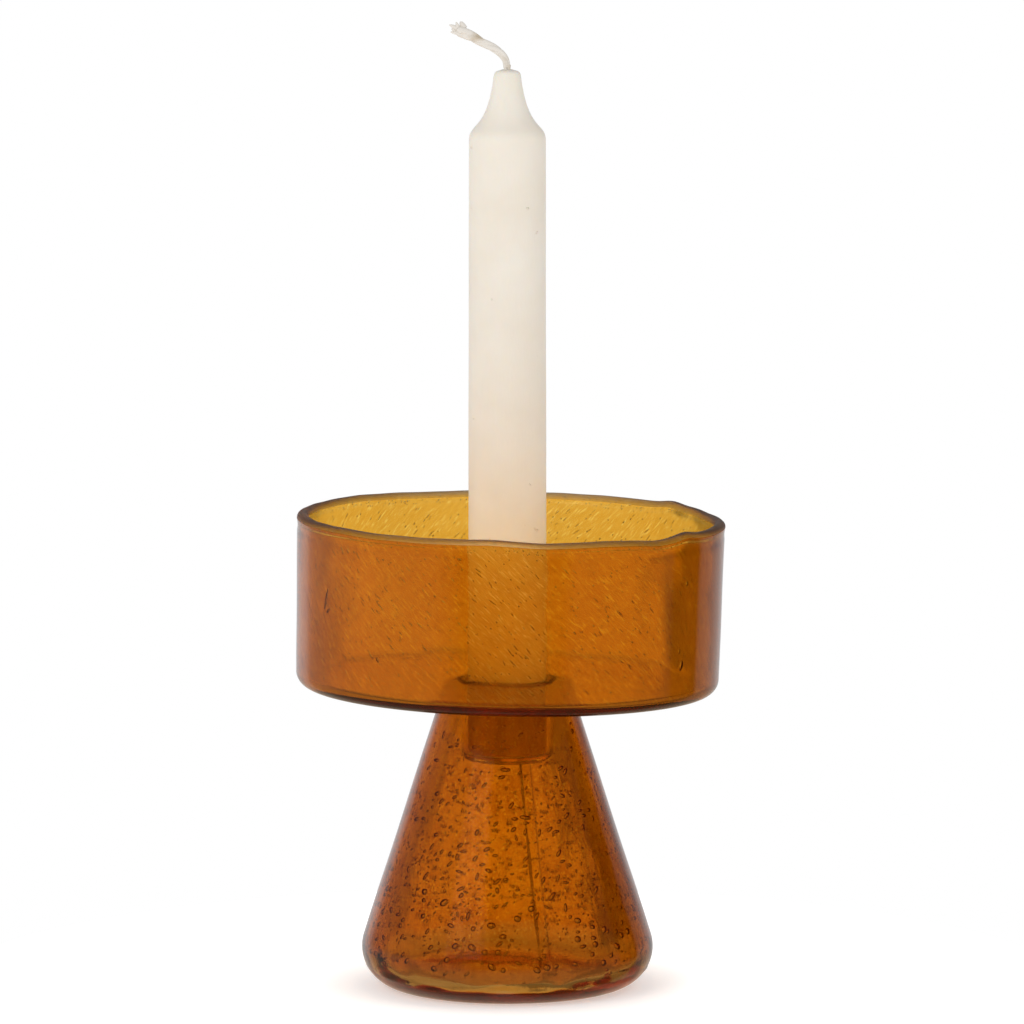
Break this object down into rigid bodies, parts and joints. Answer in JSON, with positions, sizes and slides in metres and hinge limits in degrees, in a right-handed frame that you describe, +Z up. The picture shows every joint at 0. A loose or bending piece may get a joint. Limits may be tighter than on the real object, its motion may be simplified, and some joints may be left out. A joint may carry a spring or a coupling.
{
  "type": "candle holder",
  "caption": "Amber bubble glass holder: a shallow round dish on a hollow cone, with a socket in the dish's floor that carries a dinner candle; a tealight stands on the dish's floor instead.",
  "frame": {"origin": "centre of the foot, on the surface that the holder stands on", "axes": "+Z up along the axis of the holder and the candle; the free end of the wick leans towards -X; -Y is the front"},
  "size_m": [0.12, 0.12, 0.2701],
  "materials": {
    "amber_glass": "clear amber glass full of small bubbles, fire polished",
    "candle_wax": "ivory paraffin wax, satin",
    "wick_cotton": "waxed cotton yarn"
  },
  "bodies": {
    "holder": {"dish": "amber_glass", "candle_socket": "amber_glass", "base": "amber_glass"},
    "candle": {"candle_wax": "candle_wax", "wick_yarn_1": "wick_cotton", "wick_yarn_2": "wick_cotton", "wick_yarn_3": "wick_cotton"}
  },
  "joints": [
    {"name": "candle_lift", "type": "slide", "parent": "holder", "child": "candle", "axis": [0, 0, 1], "range_m": [0, 0.08]}
  ]
}
